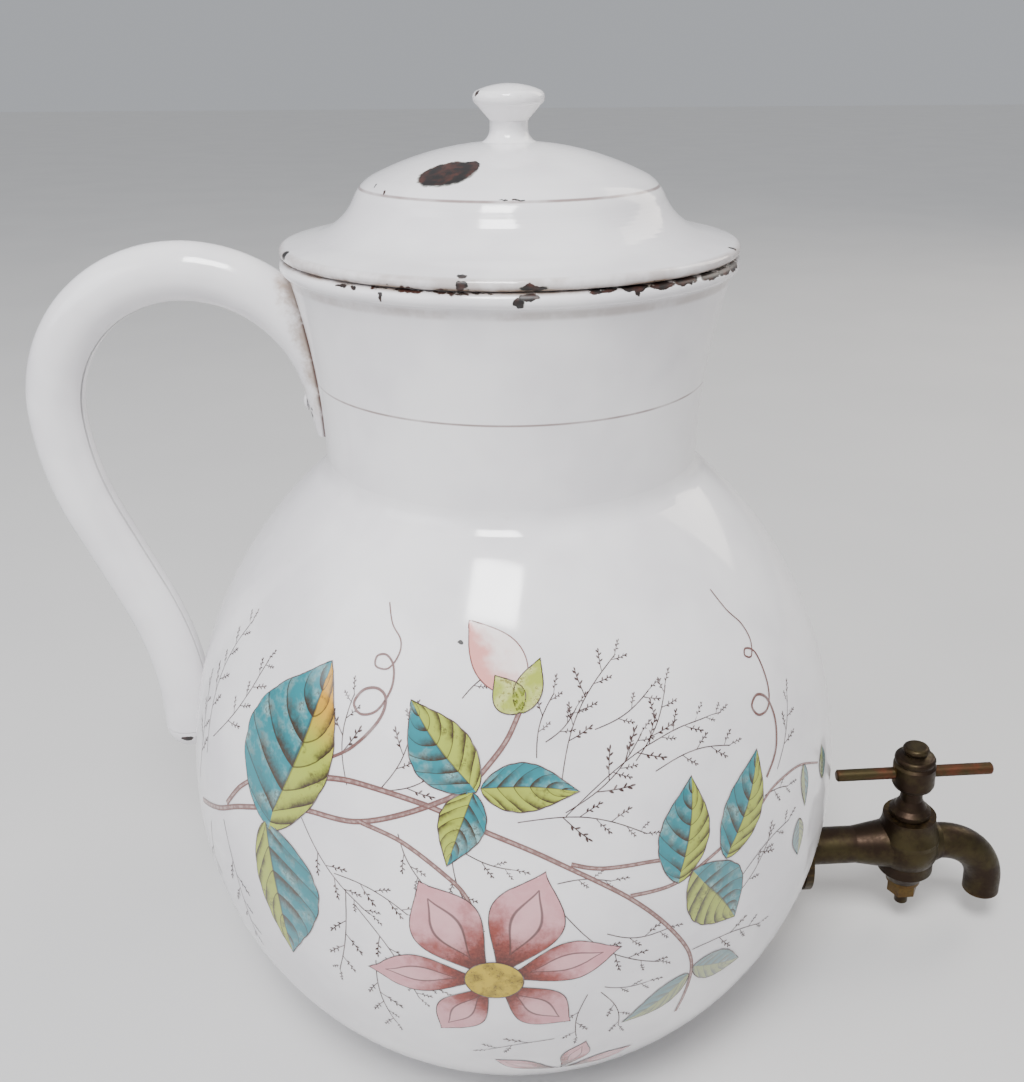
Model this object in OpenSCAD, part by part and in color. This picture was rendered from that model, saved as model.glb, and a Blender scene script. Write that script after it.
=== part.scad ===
// Enamelled water jug with a lift-off lid, a hollow side handle and a brass ground-key tap.
// The origin is the centre of the flat base, +Z is up, the tap points to +X and the handle to -X.

/* [Jug] */
// Radius of the belly below its widest height
belly_r = 120; // [112:1:128]
// Radius of the arc that draws the belly in to the shoulder
upper_arc_r = 150; // [146:1:156]
// Height of the belly's widest circle
belly_z = 95; // [90:1:100]
// Radius of the neck where it leaves the shoulder
neck_r = 63.5; // [62:0.5:65]
// Radius of the hollow fillet between shoulder and neck
shoulder_fillet = 9; // [7:0.5:12]
// Radius of the long arc that flares the neck towards the mouth
neck_flare_r = 240; // [220:10:300]
// Thickness of the enamelled iron sheet
wall = 1.4; // [1.2:0.1:1.6]
// Height of the centre of the rolled rim
rim_z = 280.2; // [276:0.1:284]
// Radius of the rolled rim's centre circle
rim_r = 71.4; // [71:0.1:72]
// Radius of the rolled rim's section
bead_r = 2.4; // [2:0.1:2.6]
// Radius of the steel wire inside the rolled rim
wire_r = 1.2; // [1:0.05:1.3]

/* [Lid] */
// Radius of the lid's crown
crown_r = 100; // [95:1:110]
// Height of the crown's top, without the knob
crown_top = 315.8; // [315:0.1:317]
// Radius of the shoulder that rounds the crown off
lid_shoulder_r = 13; // [12:0.5:14]
// Radius at which the centre of that shoulder lies
lid_shoulder_x = 37.5; // [36.5:0.5:38.5]
// Radius of the hollow fillet between dome and flange
lid_fillet = 20; // [18:0.5:22]
// Slope of the lid's flange in degrees
flange_slope = 14; // [12:0.5:16]
// Radius of the lid's rolled edge
lid_edge_r = 1.7; // [1.6:0.1:2]
// Radius of the steel wire inside that edge
lid_wire_r = 0.9; // [0.8:0.05:1]
// Outer radius of the collar that locates the lid in the mouth
collar_r = 66.6; // [66:0.1:66.8]
// Depth of that collar below the rolled rim's top
collar_depth = 16; // [10:1:20]
// Clearance between the lid's rim and the jug's rim
lid_gap = 0.3; // [0.2:0.1:0.4]
// Radius of the knob's head
knob_r = 11.2; // [10:0.1:12]
// Height of the knob's top above the crown's top
knob_h = 16.6; // [16:0.1:18]

/* [Handle] */
// Outer radius of the rolled tube
tube_r = 9.6; // [9:0.1:10.4]
// Radius of the tube's top bend, along its centre line
top_bend_r = 48; // [46:0.5:50]
// Distance of the top bend's centre from the jug's axis
top_bend_x = 108; // [107:0.5:110]
// Height of the top bend's centre
top_bend_z = 228.5; // [226:0.5:231]
// Radius of the bend that starts the sweep back to the belly
back_bend_r = 100; // [95:5:110]
// Radius of the bend that ends it
low_bend_r = 128; // [120:4:136]
// Slope of the tube between those two bends, in degrees
back_slope = 23; // [21:1:25]
// Height at which the tube runs straight down to its closed end
straight_z = 110; // [108:1:114]
// Height of the centre of the round closed end
end_z = 104; // [102:1:106]
// Width of the open seam along the tube
seam_w = 1.2; // [0.8:0.1:1.6]
// Turn of that seam from the inside of the handle towards the front, in degrees
seam_turn = 14; // [0:1:25]

/* [Tap] */
// Distance of the tap's seat from the jug's axis
seat_x = 115; // [114.6:0.1:117]
// Height of the pipe's centre at the seat
seat_z = 39.7; // [38:0.1:41]
// Upward tilt of the whole tap in degrees
tap_tilt = 3; // [0:0.5:4]
// Outer radius of the tap's pipe
pipe_r = 7.5; // [7:0.1:8]
// Radius of the water way
bore_r = 4.5; // [4:0.1:4.8]
// Distance from the seat to the axis of the plug
barrel_x = 47; // [45:0.5:50]
// Radius of the spout's bend, along its centre line
spout_bend_r = 20; // [19:0.5:22]
// Outer radius of the spout
spout_r = 7.2; // [6.8:0.1:7.5]
// Length of the cross bar
bar_l = 62; // [56:1:66]
// Radius of the cross bar
bar_r = 2.4; // [2:0.1:2.6]
// Radial clearance between the plug and the barrel
plug_fit = 0.05; // [0.02:0.01:0.08]

/* [Hidden] */
$fn = 96;
eps = 0.05;
white = "#ece9ea";
brass = "#5b4326";
steel = "#8d8d8c";
leather = "#6b4a2f";

// Belly: a sphere below belly_z, a wider arc above it, and a fillet up to the neck.
upper_x = belly_r - upper_arc_r;
fillet_x = neck_r + shoulder_fillet;
fillet_z = belly_z + sqrt(pow(upper_arc_r + shoulder_fillet, 2) - pow(fillet_x - upper_x, 2));
// Point on the upper arc, t inside the outer surface, where the fillet begins
function arc_end(t) = [upper_x, belly_z]
    + (upper_arc_r - t) / (upper_arc_r + shoulder_fillet) * [fillet_x - upper_x, fillet_z - belly_z];
neck_arc_x = neck_r + neck_flare_r;
function neck_outer(z) = neck_arc_x - sqrt(pow(neck_flare_r, 2) - pow(z - fillet_z, 2));

// Lid: crown, shoulder and flange share the tangent points worked out here.
crown_z = crown_top - crown_r;
shoulder_c = [lid_shoulder_x, crown_z + sqrt(pow(crown_r - lid_shoulder_r, 2) - pow(lid_shoulder_x, 2))];
rim_top = rim_z + bead_r;
lid_bead = [rim_r + 0.5, rim_top + lid_gap + lid_edge_r];
flange_n = [sin(flange_slope), cos(flange_slope)];
flange_end = lid_bead + lid_edge_r * flange_n;
lid_reach = lid_shoulder_r + lid_fillet;
// The fillet's centre is lid_fillet above the flange and lid_reach from the shoulder's centre
fillet_turn = asin((lid_fillet - flange_n * (shoulder_c - flange_end)) / lid_reach) - flange_slope;
lid_fillet_c = shoulder_c + lid_reach * [cos(fillet_turn), sin(fillet_turn)];
crown_turn = atan2(shoulder_c.y - crown_z, shoulder_c.x);
// Height at which the collar's top meets the flange's underside
collar_top = flange_end.y + (flange_end.x - collar_r) * tan(flange_slope) - wall / cos(flange_slope);

// Handle: the tube's centre line, from the neck over the top and down to the belly.
neck_turn = 12;
tongue_l = 16;
// Overlap of neighbouring stretches of the tube, and the step in radius between them
lap = 0.8;
hair = 0.04;
back_c = [-top_bend_x - top_bend_r + back_bend_r, top_bend_z];
back_dir = [sin(back_slope), -cos(back_slope)];
back_end = back_c + back_bend_r * [-cos(back_slope), -sin(back_slope)];
straight_l = (back_end.y - straight_z - low_bend_r * sin(back_slope)) / cos(back_slope);
low_start = back_end + straight_l * back_dir;
low_c = [low_start.x - low_bend_r * cos(back_slope), straight_z];
tube_end_x = low_c.x + low_bend_r;
rivet_r = 2;
rivet_z = 232.5;
rivet_grip = 5.4;
rivet_head_r = 3.6;
rivet_head_x = -neck_outer(rivet_z) - rivet_grip;
rivet_tail_x = rivet_grip + wall + 0.4;

// Tap: x runs out along the pipe from the seat, z up along the plug.
washer_t = 2;
flange_t = 3;
flange_r = 17;
boss_r = 18.5;
boss_root_r = 21.5;
boss_l = 24;
shank_in = 13;
nut_t = 6;
barrel_top = 14.4;
barrel_bottom = -17.5;
barrel_r = 10.4;
barrel_flare_r = 20;
bulge_r = 13;
plug_r_top = 7.4;
plug_r_bottom = 6.2;
bar_z = 34.6;
stud_r = 2.7;
stud_bottom = -31;
outlet_drop = 6;

// ---------- shared shapes ----------

// Region inside the belly's surface, moved in by t
module belly_region(t) {
    intersection() {
        translate([0, belly_z]) circle(r = belly_r - t);
        square([belly_r, belly_z]);
    }
    intersection() {
        translate([upper_x, belly_z]) circle(r = upper_arc_r - t);
        translate([0, belly_z]) square([belly_r, arc_end(t).y - belly_z]);
    }
    difference() {
        polygon([[0, arc_end(t).y], arc_end(t), [fillet_x, fillet_z], [0, fillet_z]]);
        translate([fillet_x, fillet_z]) circle(r = shoulder_fillet + t);
    }
}

// Region inside the neck's surface, moved in by t, from the shoulder to z_top
module neck_region(t, z_top) {
    difference() {
        translate([0, fillet_z]) square([neck_r + 20, z_top - fillet_z]);
        translate([neck_arc_x, fillet_z]) circle(r = neck_flare_r + t, $fn = 360);
    }
}

// Points along an arc from angle a0 to a1
function arc(c, r, a0, a1, steps) = [for (i = [0:steps])
    c + r * [cos(a0 + (a1 - a0) * i / steps), sin(a0 + (a1 - a0) * i / steps)]];

// The lid's surface from its top to the start of its flange's straight slope, moved in by t
function lid_line(t) = concat(
    arc([0, crown_z], crown_r - t, 90, crown_turn, 16),
    arc(shoulder_c, lid_shoulder_r - t, crown_turn - 3, fillet_turn, 24),
    arc(lid_fillet_c, lid_fillet + t, fillet_turn + 184, 270 - flange_slope, 12));

// Region under the lid's surface
module lid_region(t) {
    line = lid_line(t);
    polygon(concat([[0, rim_top]], line, [[line[len(line) - 1].x, rim_top]]));
}

// One bend of the tube: centre [x, z], radius, first angle and sweep in the X-Z plane
module bend(c, r, from, sweep) {
    translate([c.x, 0, c.y]) rotate([90, 0, 0]) rotate([0, 0, from])
        rotate_extrude(angle = sweep, $fn = 180) translate([r, 0]) children();
}

// A straight stretch of the tube from [x, z], turned by angle from straight down towards +X
module run(p, angle, l) {
    translate([p.x, 0, p.y]) rotate([0, 180 - angle, 0]) linear_extrude(l) children();
}

// The whole sweep of the handle with a round section of radius r. Neighbours overlap by a little
// and differ by a hair in radius, so that no two of their surfaces lie in one another.
module handle_sweep(r) {
    neck_start = [-top_bend_x, top_bend_z] + top_bend_r * [cos(neck_turn), sin(neck_turn)];
    run(neck_start + lap * [-sin(neck_turn), cos(neck_turn)], neck_turn, tongue_l + lap)
        circle(r = r - hair);
    bend([-top_bend_x, top_bend_z], top_bend_r, neck_turn, 180 - neck_turn) circle(r = r);
    bend(back_c, back_bend_r, 180 - lap, back_slope + lap) circle(r = r - hair);
    run(back_end - lap * back_dir, back_slope, straight_l + 2 * lap) circle(r = r - 2 * hair);
    bend(low_c, low_bend_r, 0, back_slope) circle(r = r - hair);
    run([tube_end_x, straight_z + lap], 0, straight_z - end_z + lap) circle(r = r - 2 * hair);
}

// Section of the open seam, turned by a in the section's plane
module seam_section(a, w) {
    rotate(a) translate([tube_r - 3, -w / 2]) square([6, w]);
}

// The cut that leaves the tube's seam open. Each stretch runs past its neighbour and is a little narrower.
module seam() {
    bend([-top_bend_x, top_bend_z], top_bend_r, 60, 120 + lap)
        seam_section(180 - seam_turn, seam_w);
    bend(back_c, back_bend_r, 180 - 2 * lap, back_slope + 3 * lap)
        seam_section(180 - seam_turn, seam_w - 0.1);
    run(back_end - 2 * lap * back_dir, back_slope, straight_l + 4 * lap)
        seam_section(180 + seam_turn, seam_w - 0.2);
    bend(low_c, low_bend_r, -lap, back_slope + 2 * lap)
        seam_section(seam_turn, seam_w - 0.3);
}

module tap_frame() {
    translate([seat_x, 0, seat_z]) rotate([0, -tap_tilt, 0]) children();
}

module at_plug() {
    tap_frame() translate([barrel_x, 0, 0]) children();
}

// A ring or rod along the pipe between x0 and x1
module along_pipe(x0, x1, r) {
    translate([x0, 0, 0]) rotate([0, 90, 0]) cylinder(r = r, h = x1 - x0);
}

module pipe_cone(x0, x1, r0, r1) {
    translate([x0, 0, 0]) rotate([0, 90, 0]) cylinder(r1 = r0, r2 = r1, h = x1 - x0);
}

// A round cut 12 long along the handle rivet's axis, from x towards the neck
module rivet_cut(x, r) {
    translate([x, 0, rivet_z]) rotate([0, 90, 0]) cylinder(r = r, h = 12);
}

// ---------- jug ----------

module base_plate() {
    color(white) rotate_extrude() intersection() {
        belly_region(wall + eps);
        square([belly_r, wall]);
    }
}

module belly_shell() {
    color(white) difference() {
        rotate_extrude() difference() {
            belly_region(0);
            belly_region(wall);
        }
        tap_frame() along_pipe(-40, 5, boss_r - wall - 1);
    }
}

module neck_shell() {
    color(white) difference() {
        rotate_extrude() difference() {
            union() {
                difference() {
                    neck_region(0, rim_z);
                    neck_region(wall, rim_z + 1);
                }
                translate([rim_r, rim_z]) circle(r = bead_r);
            }
            translate([rim_r, rim_z]) circle(r = wire_r + eps);
        }
        rivet_cut(-neck_r - 5, rivet_r + eps);
    }
}

module rim_wire() {
    color(steel) rotate_extrude() translate([rim_r, rim_z]) circle(r = wire_r);
}

// Raised seat that turns the belly's sloping wall into a flat face for the tap
module tap_boss() {
    color(white) difference() {
        tap_frame() difference() {
            pipe_cone(-boss_l, 0, boss_root_r, boss_r);
            pipe_cone(-boss_l - 1, -wall, boss_root_r - wall, boss_r - wall);
            along_pipe(-wall - 1, 1, pipe_r + 0.4);
        }
        rotate_extrude() belly_region(-eps);
    }
}

// ---------- handle ----------

module handle_tube() {
    color(white) difference() {
        handle_sweep(tube_r);
        handle_sweep(tube_r - wall);
        seam();
        translate([0, 0, 0.02]) rotate_extrude() {
            belly_region(-eps);
            neck_region(-eps, rim_z);
        }
        rotate_extrude() translate([rim_r, rim_z]) circle(r = bead_r + eps);
        rivet_cut(-neck_r - 12, rivet_r + eps);
        // Flat seat for the rivet's head
        rivet_cut(rivet_head_x - 12, rivet_head_r + 0.1);
    }
}

module handle_end_cap() {
    color(white) difference() {
        intersection() {
            translate([tube_end_x, 0, end_z]) sphere(r = tube_r);
            // The cap stops a little short of the tube's end, where the weld is
            translate([tube_end_x - 20, -20, end_z - 20.3]) cube([40, 40, 20]);
        }
        translate([tube_end_x, 0, end_z]) sphere(r = tube_r - wall);
        rotate_extrude() belly_region(-eps);
    }
}

module handle_rivet() {
    color(white) translate([rivet_head_x, 0, rivet_z]) rotate([0, 90, 0]) {
        cylinder(r = rivet_r, h = rivet_tail_x + 1);
        intersection() {
            translate([0, 0, 3.2]) sphere(r = 4.8);
            translate([-4, -4, -2]) cube([8, 8, 2]);
        }
        translate([0, 0, rivet_tail_x]) cylinder(r = 3.4, h = 1.2);
    }
}

// ---------- lid ----------

module lid_shell() {
    inner = lid_line(wall);
    // The rolled edge starts in line with the flange and closes against its underside
    edge_turn = 90 - flange_slope;
    edge = arc(lid_bead, lid_edge_r, edge_turn, edge_turn + acos(1 - wall / lid_edge_r) - 360, 48);
    color(white) difference() {
        rotate_extrude() difference() {
            polygon(concat(lid_line(0), edge, [for (i = [len(inner) - 1:-1:0]) inner[i]]));
            translate(lid_bead) circle(r = lid_wire_r + eps);
        }
        translate([0, 0, crown_top - 5]) cylinder(r = rivet_r + eps, h = 10);
    }
}

module lid_rim_wire() {
    color(steel) rotate_extrude() translate(lid_bead) circle(r = lid_wire_r);
}

module lid_collar() {
    bottom = rim_top - collar_depth;
    color(white) translate([0, 0, bottom]) difference() {
        cylinder(r = collar_r, h = collar_top - bottom);
        translate([0, 0, -1]) cylinder(r = collar_r - wall, h = collar_top - bottom + 2);
    }
}

module lid_knob() {
    top = crown_top + knob_h;
    edge_r = 2.4;
    cap_r = 26;
    throat_r = 6;
    throat_z = top - 10.6;
    flare_r = 4.4;
    foot_z = crown_top + 3.7;
    edge_c = [knob_r - edge_r, top - cap_r + sqrt(pow(cap_r - edge_r, 2) - pow(knob_r - edge_r, 2))];
    // The head's underside runs one degree steeper than the tangent, so that it ends inside the round edge
    slant = edge_c - [throat_r, throat_z];
    slant_turn = atan2(slant.y, slant.x) - asin(edge_r / norm(slant)) + 1;
    slant_end = [throat_r, throat_z]
        + sqrt(pow(norm(slant), 2) - pow(edge_r, 2)) * [cos(slant_turn), sin(slant_turn)];
    color(white) difference() {
        rotate_extrude() difference() {
            union() {
                difference() {
                    translate([0, crown_top - 3]) square([throat_r + flare_r, foot_z - crown_top + 3]);
                    translate([throat_r + flare_r, foot_z]) circle(r = flare_r);
                }
                polygon([[0, foot_z], [throat_r, foot_z], [throat_r, throat_z], slant_end, edge_c,
                    [0, edge_c.y]]);
                translate(edge_c) circle(r = edge_r);
                intersection() {
                    translate([0, top - cap_r]) circle(r = cap_r);
                    translate([0, edge_c.y - eps]) square([edge_c.x + 0.5, knob_r]);
                }
            }
            lid_region(-0.02);
        }
        translate([0, 0, crown_top - 5]) cylinder(r = rivet_r + eps, h = 14);
    }
}

module knob_rivet() {
    color(steel) {
        translate([0, 0, crown_top - 2.5]) cylinder(r = rivet_r, h = 11);
        translate([0, 0, crown_top - wall - 1.5]) cylinder(r = 4.5, h = 1.4);
    }
}

// ---------- tap ----------

module tap_outer_washer() {
    color(leather) tap_frame() difference() {
        along_pipe(0, washer_t, flange_r - 1);
        along_pipe(-1, washer_t + 1, pipe_r + 0.1);
    }
}

// Barrel's outside: a hollow flare from the top down to a bulge round the water way, and a tapered foot
module barrel_section() {
    difference() {
        square([bulge_r - 0.4, barrel_top]);
        translate([barrel_r + barrel_flare_r, barrel_top]) circle(r = barrel_flare_r);
    }
    intersection() {
        circle(r = bulge_r);
        translate([0, -10]) square([bulge_r, 18]);
    }
    translate([0, -12]) square([11, 12]);
    polygon([[0, -9], [9.6, -9], [9.2, -12.5], [7, barrel_bottom], [0, barrel_bottom]]);
}

module tap_body() {
    spout_x = barrel_x + 13;
    color(brass) tap_frame() difference() {
        union() {
            along_pipe(-shank_in, barrel_x, pipe_r);
            along_pipe(washer_t, washer_t + flange_t, flange_r);
            pipe_cone(barrel_x - 22, barrel_x - 8, pipe_r, pipe_r + 2.5);
            pipe_cone(barrel_x + 6, spout_x, pipe_r + 2.5, spout_r);
            translate([barrel_x, 0, 0]) rotate_extrude() barrel_section();
            bend([spout_x, -spout_bend_r], spout_bend_r, 0, 90) circle(r = spout_r);
            translate([spout_x + spout_bend_r, 0, -spout_bend_r - outlet_drop])
                cylinder(r = spout_r, h = outlet_drop);
        }
        along_pipe(-shank_in - 1, spout_x, bore_r);
        bend([spout_x, -spout_bend_r], spout_bend_r, 0, 90) circle(r = bore_r);
        translate([spout_x + spout_bend_r, 0, -spout_bend_r - outlet_drop - 1])
            cylinder(r = bore_r, h = outlet_drop + 1);
        translate([barrel_x, 0, barrel_bottom])
            cylinder(r1 = plug_r_bottom + plug_fit, r2 = plug_r_top + plug_fit, h = barrel_top - barrel_bottom);
    }
}

module tap_inner_washer() {
    color("#3a3632") tap_frame() difference() {
        along_pipe(-wall - washer_t, -wall, 14);
        along_pipe(-wall - washer_t - 1, 0, pipe_r + 0.1);
    }
}

module tap_backnut() {
    x1 = -wall - washer_t;
    color(brass) tap_frame() difference() {
        translate([x1 - nut_t, 0, 0]) rotate([0, 90, 0]) cylinder(r = 13.6, h = nut_t, $fn = 6);
        along_pipe(x1 - nut_t - 1, x1 + 1, pipe_r + 0.05);
    }
}

// Tapered key with its cross port, shoulder, throat, head and button, turned in one piece
module tap_plug() {
    color(brass) at_plug() difference() {
        rotate_extrude() {
            polygon([[0, stud_bottom], [stud_r - 0.6, stud_bottom], [stud_r, stud_bottom + 0.6],
                [stud_r, barrel_bottom + 0.5], [plug_r_bottom, barrel_bottom + 0.5],
                [plug_r_top - 0.02, barrel_top], [plug_r_top - 0.02, barrel_top + 0.6],
                [8, barrel_top + 0.6], [8, 17], [6.2, 18.6], [4.4, 22], [4.2, 26], [6.2, 27.8],
                [7.6, 28.6], [8.2, 30], [8.2, 38.4], [7.4, 39.4], [7.4, 39.9], [6.6, 42.6], [4.4, 43.4],
                [4.4, 44], [0, 44]]);
            intersection() {
                translate([6.3, 41.1]) circle(r = 1.6);
                translate([0, 38]) square([9, 5]);
            }
            translate([0, 44]) square([3.6, 3]);
            translate([3.6, 45.5]) circle(r = 1.5);
        }
        rotate([0, 90, 0]) cylinder(r = 4, h = 30, center = true);
        translate([0, 0, bar_z]) rotate([0, 90, 0]) cylinder(r = bar_r + 0.04, h = 30, center = true);
    }
}

module tap_bar() {
    chamfer = 0.6;
    color(brass) at_plug() translate([-bar_l / 2, 0, bar_z]) rotate([0, 90, 0]) {
        cylinder(r1 = bar_r - chamfer, r2 = bar_r, h = chamfer);
        translate([0, 0, chamfer]) cylinder(r = bar_r, h = bar_l - 2 * chamfer);
        translate([0, 0, bar_l - chamfer]) cylinder(r1 = bar_r, r2 = bar_r - chamfer, h = chamfer);
    }
}

module plug_washer() {
    color(brass) at_plug() translate([0, 0, barrel_bottom - 1.7]) difference() {
        cylinder(r = 6.8, h = 1.4);
        translate([0, 0, -1]) cylinder(r = stud_r + 0.05, h = 4);
    }
}

module plug_nut() {
    color(brass) at_plug() translate([0, 0, barrel_bottom - 7.2]) difference() {
        cylinder(r = 6.2, h = 5.4, $fn = 6);
        translate([0, 0, -1]) cylinder(r = stud_r + 0.05, h = 8);
    }
}

base_plate();
belly_shell();
neck_shell();
rim_wire();
tap_boss();
handle_tube();
handle_end_cap();
handle_rivet();
lid_shell();
lid_rim_wire();
lid_collar();
lid_knob();
knob_rivet();
tap_outer_washer();
tap_body();
tap_inner_washer();
tap_backnut();
tap_plug();
tap_bar();
plug_washer();
plug_nut();
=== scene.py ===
"""Blender looks of the enamelled water jug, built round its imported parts.

The jug keeps its CAD parts and gets its enamel, chips, lines and old brass here. The printed flowers
are thin pieces of their own that lie on the belly.
"""

import math
import random

import bpy
from mathutils import Matrix, Vector


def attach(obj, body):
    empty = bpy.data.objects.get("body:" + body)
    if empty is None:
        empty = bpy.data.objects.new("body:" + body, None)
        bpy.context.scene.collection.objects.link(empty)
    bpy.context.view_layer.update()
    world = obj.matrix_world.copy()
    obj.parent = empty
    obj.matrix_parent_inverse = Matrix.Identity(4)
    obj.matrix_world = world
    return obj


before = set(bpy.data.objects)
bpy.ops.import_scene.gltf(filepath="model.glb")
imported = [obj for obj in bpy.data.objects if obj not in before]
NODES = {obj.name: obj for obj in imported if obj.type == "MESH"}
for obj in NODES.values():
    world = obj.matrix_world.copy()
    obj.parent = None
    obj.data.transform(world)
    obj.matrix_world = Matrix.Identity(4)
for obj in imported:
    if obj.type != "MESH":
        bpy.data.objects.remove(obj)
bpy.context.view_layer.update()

bl_info = {
    "name": "Enamelled Water Jug",
    "version": (1, 0, 0),
    "blender": (4, 5, 0),
    "location": "3D View > Sidebar > Water Jug",
    "description": "Gives the water jug its enamel, its printed flowers and its old brass tap",
    "category": "Object",
}

MM = 0.001
# Height of the belly's widest circle, where its azimuths and elevations are taken from
BELLY_CENTRE = Vector((0, 0, 95 * MM))
# How far the lowest print lies off the belly. Each kind of print has its own multiple of it, so that where
# two cross they never share a plane
INK_LIFT = 0.1 * MM
SEED = 7
# The neck's radius at its foot, the foot's height, and twice the radius of its flare, in metres
NECK_R, NECK_FOOT_Z, NECK_FLARE = 63.5 * MM, 216.5 * MM, 0.48
# Side veins of a leaf, and the scallops of its edge
VEINS = 6.2


def srgb(code):
    """Linear colour, with alpha, of an sRGB hex code such as #e9e6e4."""
    parts = [int(code[i : i + 2], 16) / 255 for i in (1, 3, 5)]
    return (*(p / 12.92 if p <= 0.04045 else ((p + 0.055) / 1.055) ** 2.4 for p in parts), 1.0)


def colour(name, about, code):
    """Property for one colour."""
    return bpy.props.FloatVectorProperty(
        name=name, description=about, default=srgb(code), size=4, min=0, max=1, subtype="COLOR"
    )


def size(name, about, millimetres):
    """Property for one length."""
    return bpy.props.FloatProperty(
        name=name, description=about, default=millimetres * MM, min=0, unit="LENGTH", subtype="DISTANCE"
    )


class JugEnamel(bpy.types.PropertyGroup):
    glaze: colour("Glaze", "The white enamel", "#efedee")
    glaze_shade: colour("Glaze shade", "Where the enamel lies thinner and greyer", "#e0dde0")
    line: colour("Line", "The fine painted lines", "#8a7672")
    iron: colour("Iron", "Bare iron in a chip", "#140f0d")
    rust: colour("Rust", "Rust in and round a chip", "#3f2119")
    # The same brown also paints the shadow line under the neck's rim bead
    grime_and_shadow: colour("Grime", "Brown dirt along the rolled edges", "#7a5f45")
    line_width: size("Line width", "Width of the painted lines", 0.5)
    neck_line_z: size("Neck line height", "Height of the line round the neck", 243.4)
    lid_line_r: size("Lid line radius", "Radius of the line round the lid", 47.3)


class JugPrint(bpy.types.PropertyGroup):
    teal: colour("Teal", "Blue-green half of a leaf", "#2a7c86")
    green: colour("Yellow-green", "Yellow-green half of a leaf", "#a2ad45")
    gold: colour("Gold", "The turning tip of the large leaf", "#c99524")
    shade: colour("Leaf shade", "Engraved shading on the leaves", "#3d2f22")
    pink: colour("Pink", "Petals", "#c98f95")
    petal_deep: colour("Deep red", "Petals near the flower's middle", "#84392f")
    bud: colour("Bud", "The bud's flushed side", "#e29c94")
    pollen: colour("Yellow", "The flower's middle", "#b79d2c")
    stem: colour("Stem", "Stems and tendrils", "#73524e")
    ink: colour("Ink", "Outlines and fine sprigs", "#4a3836")
    outline: size("Outline", "Width of a leaf's outline", 0.35)


class TapFinish(bpy.types.PropertyGroup):
    brass: colour("Brass", "Rubbed brass", "#94713a")
    patina: colour("Patina", "Brown skin on the brass", "#2d2118")
    olive: colour("Olive", "Greenish bloom on the spout", "#403823")
    bar: colour("Bar", "Copper-red skin of the cross bar", "#5e3626")
    leather: colour("Leather", "Leather sealing washers", "#5c4029")
    steel: colour("Steel", "Rim wires and the knob's rivet", "#8d8d8c")


class JugStage(bpy.types.PropertyGroup):
    floor: colour("Floor", "Pale cloth-like floor", "#d4d3d2")
    key: bpy.props.FloatProperty(
        name="Key light", description="Power of the square softbox in front", default=23, min=0, unit="POWER"
    )
    fill: bpy.props.FloatProperty(
        name="Fill light", description="Power of the wide soft light from the left",
        default=13, min=0, unit="POWER",
    )


# ---------- materials ----------


# Settings of a smooth step, whose inputs are the value, its two ends and the two results, and of a mix of
# two colours, whose inputs are the factor (0) and the colours (6 and 7)
SMOOTH = {"interpolation_type": "SMOOTHSTEP"}
BLEND = {"out": 2, "data_type": "RGBA"}


def node(tree, kind, inputs=(), out=0, **settings):
    """Adds a shader node with its settings and links, and returns one output socket."""
    made = tree.nodes.new("ShaderNode" + kind)
    for name, value in settings.items():
        setattr(made, name, value)
    for key, value in dict(inputs).items():
        if isinstance(value, bpy.types.NodeSocket):
            tree.links.new(value, made.inputs[key])
        else:
            made.inputs[key].default_value = value
    return made.outputs[out] if made.outputs else None


def new_material(name):
    """An empty node material, and its tree."""
    material = bpy.data.materials.new(name)
    material.use_nodes = True
    material.node_tree.nodes.clear()
    return material, material.node_tree


def chips_mask(tree, place, chips):
    """1 inside the chips and 0 outside. Each chip is its centre and its half-sizes in millimetres."""
    # Chipped enamel breaks along short curved cracks, so the outline wanders by about 0.6 mm
    wander = node(tree, "TexNoise", {"Vector": place, "Scale": 420, "Detail": 3}, out=1)
    moved = node(tree, "VectorMath", {0: wander, 1: (0.5, 0.5, 0.5)}, operation="SUBTRACT")
    moved = node(tree, "VectorMath", {0: moved, "Scale": 2.6 * MM}, operation="SCALE")
    warped = node(tree, "VectorMath", {0: place, 1: moved}, operation="ADD")
    mask = None
    for centre, half in chips:
        away = node(tree, "VectorMath", {0: warped, 1: [c * MM for c in centre]}, operation="SUBTRACT")
        away = node(tree, "VectorMath", {0: away, 1: [1 / (h * MM) for h in half]}, operation="MULTIPLY")
        far = node(tree, "VectorMath", {0: away}, out=1, operation="LENGTH")
        one = node(tree, "MapRange", {0: far, 1: 1.12, 2: 0.88}, **SMOOTH)
        mask = one if mask is None else node(tree, "Math", {0: mask, 1: one}, operation="MAXIMUM")
    return mask


def from_ring(tree, across, z, radius, height):
    """Distance from a level ring, so that dirt and wear keep to a rolled edge."""
    out = node(tree, "Math", {0: across, 1: radius * MM}, operation="SUBTRACT")
    up = node(tree, "Math", {0: z, 1: height * MM}, operation="SUBTRACT")
    return node(tree, "VectorMath", {0: node(tree, "CombineXYZ", {0: out, 1: up})}, out=1, operation="LENGTH")


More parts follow.
